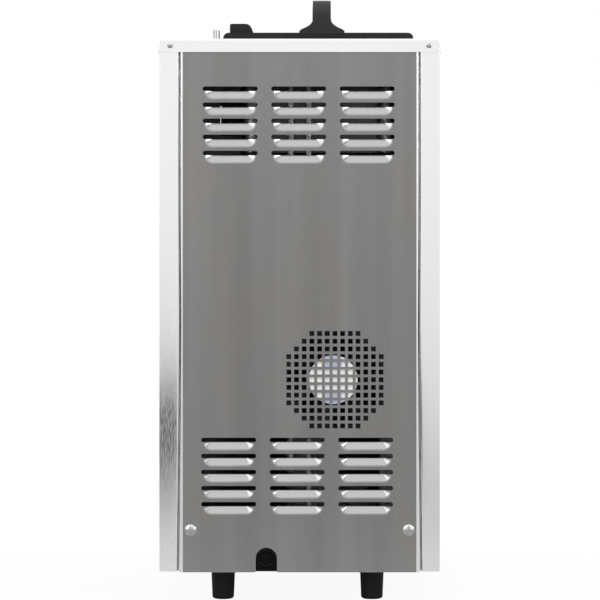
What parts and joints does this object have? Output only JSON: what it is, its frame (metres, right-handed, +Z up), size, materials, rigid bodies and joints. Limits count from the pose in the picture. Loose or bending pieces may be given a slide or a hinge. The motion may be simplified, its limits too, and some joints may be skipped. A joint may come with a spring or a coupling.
{
  "type": "ice cream maker",
  "caption": "Tall countertop soft-serve machine in stainless steel, with a louvered back, a top hopper, a belt-driven beater, a draw lever and a drip tray.",
  "frame": {"origin": "on the surface it stands on, at the middle of its width and of its depth, the drip tray included", "axes": "+Z up, +Y towards the louvered back, -Y towards the drip tray, +X to the left of someone who faces the back"},
  "size_m": [0.34, 0.6229, 0.742],
  "materials": {
    "panel_steel": "vertically brushed",
    "bright_steel": "polished",
    "zinc_sheet": "zinc plated",
    "tank_steel": "satin",
    "screw_steel": "bright plated",
    "chrome_trim": "polished",
    "black_plastic": "fine moulded texture",
    "black_gloss": "gloss",
    "white_plastic": "satin food-grade plastic",
    "fan_plastic": "dark grey",
    "rubber": "matt",
    "seal_rubber": "matt red",
    "foam": "rigid foam",
    "copper": "drawn tube",
    "cast_paint": "grey enamel",
    "black_paint": "black enamel",
    "pulley_iron": "turned",
    "fin_aluminium": "thin sheet",
    "button_plastic": "satin silver",
    "window": "tinted",
    "circuit_board": "green laminate"
  },
  "bodies": {
    "cabinet": {"base_pan": "zinc_sheet", "corner_posts": "zinc_sheet", "barrel_deck": "zinc_sheet", "side_panel_left": "bright_steel", "side_panel_right": "bright_steel", "rear_panel": "panel_steel", "front_panel": "panel_steel", "top_cover": "bright_steel", "feet": "rubber", "cover_screws": "screw_steel", "rear_panel_screws": "screw_steel", "cord_gland": "black_plastic", "gland_nut": "black_plastic", "hopper": "tank_steel", "hopper_gasket": "rubber", "cover_pin": "chrome_trim", "freezing_cylinder": "tank_steel", "evaporator_coil": "copper", "barrel_insulation": "foam", "shaft_seal": "seal_rubber", "gearbox": "cast_paint", "drive_belt": "rubber", "beater_motor": "cast_paint", "motor_bracket": "zinc_sheet", "compressor": "black_paint", "compressor_grommets": "rubber", "condenser_core": "fin_aluminium", "condenser_shroud": "zinc_sheet", "condenser_fan_motor": "black_paint", "refrigerant_pipes": "fin_aluminium", "rear_fan_frame": "fan_plastic", "dispense_door": "white_plastic", "door_gasket": "rubber", "door_knobs": "black_plastic", "lever_pin": "screw_steel", "star_nozzle": "white_plastic", "tray_bracket": "zinc_sheet", "control_panel": "black_gloss", "display_window": "window", "control_board": "circuit_board"},
    "lid": {"hopper_lid": "black_plastic", "lid_handle": "black_plastic", "lid_catch_block": "black_plastic"},
    "feed_tube": {"feed_tube": "white_plastic"},
    "beater": {"beater": "tank_steel", "scraper_blades": "white_plastic"},
    "driven_pulley": {"driven_pulley": "pulley_iron"},
    "motor_pulley": {"motor_pulley": "pulley_iron"},
    "condenser_fan": {"condenser_fan_blade": "fin_aluminium"},
    "rear_fan": {"rear_fan_rotor": "black_plastic"},
    "lever": {"draw_lever": "bright_steel", "lever_grip": "black_plastic"},
    "piston": {"draw_piston": "white_plastic", "piston_o_rings": "seal_rubber"},
    "tray": {"drip_tray": "bright_steel"},
    "grid": {"drip_tray_grid": "bright_steel"},
    "button_auto": {"button_auto": "button_plastic"},
    "button_wash": {"button_wash": "button_plastic"},
    "button_stop": {"button_stop": "button_plastic"},
    "rocker": {"power_rocker": "black_plastic"}
  },
  "joints": [
    {"name": "lid_lift", "type": "slide", "parent": "cabinet", "child": "lid", "axis": [0, 0, 1], "range_m": [0, 0.12]},
    {"name": "feed_tube_lift", "type": "slide", "parent": "cabinet", "child": "feed_tube", "axis": [0, 0, 1], "range_m": [0, 0.025]},
    {"name": "driven_pulley_spin", "type": "hinge", "parent": "cabinet", "child": "driven_pulley", "pos_m": [0, 0.1655, 0.4595], "axis": [0, 1, 0], "continuous": true},
    {"name": "beater_spin", "type": "hinge", "parent": "cabinet", "child": "beater", "pos_m": [0, -0.0715, 0.4595], "axis": [0, 1, 0], "continuous": true},
    {"name": "motor_pulley_spin", "type": "hinge", "parent": "cabinet", "child": "motor_pulley", "pos_m": [0.06, 0.1655, 0.2945], "axis": [0, 1, 0], "continuous": true},
    {"name": "condenser_fan_spin", "type": "hinge", "parent": "cabinet", "child": "condenser_fan", "pos_m": [-0.1103, -0.0495, 0.154], "axis": [1, 0, 0], "continuous": true},
    {"name": "rear_fan_spin", "type": "hinge", "parent": "cabinet", "child": "rear_fan", "pos_m": [-0.0425, 0.2785, 0.2679], "axis": [0, 1, 0], "continuous": true},
    {"name": "lever_pull", "type": "hinge", "parent": "cabinet", "child": "lever", "pos_m": [0, -0.2595, 0.5235], "axis": [1, 0, 0], "range_deg": [0, 70]},
    {"name": "piston_lift", "type": "slide", "parent": "cabinet", "child": "piston", "axis": [0, 0, 1], "range_m": [0, 0.02755]},
    {"name": "tray_slide", "type": "slide", "parent": "cabinet", "child": "tray", "axis": [0, -1, 0], "range_m": [0, 0.1]},
    {"name": "grid_lift", "type": "slide", "parent": "tray", "child": "grid", "axis": [0, 0, 1], "range_m": [0, 0.05]},
    {"name": "button_auto_press", "type": "slide", "parent": "cabinet", "child": "button_auto", "axis": [0, 1, 0], "range_m": [0, 0.0015], "stiffness_N_per_m": 300},
    {"name": "button_wash_press", "type": "slide", "parent": "cabinet", "child": "button_wash", "axis": [0, 1, 0], "range_m": [0, 0.0015], "stiffness_N_per_m": 300},
    {"name": "button_stop_press", "type": "slide", "parent": "cabinet", "child": "button_stop", "axis": [0, 1, 0], "range_m": [0, 0.0015], "stiffness_N_per_m": 300},
    {"name": "power_rocker_tilt", "type": "hinge", "parent": "cabinet", "child": "rocker", "pos_m": [0.1, -0.1885, 0.6135], "axis": [-1, 0, 0], "range_deg": [0, 16]}
  ],
  "couplings": [
    {"joint": "piston_lift", "follows": "lever_pull", "m_per_rad": 0.022535},
    {"joint": "beater_spin", "follows": "driven_pulley_spin", "ratio": 0.25},
    {"joint": "motor_pulley_spin", "follows": "driven_pulley_spin", "ratio": 2.3077}
  ]
}
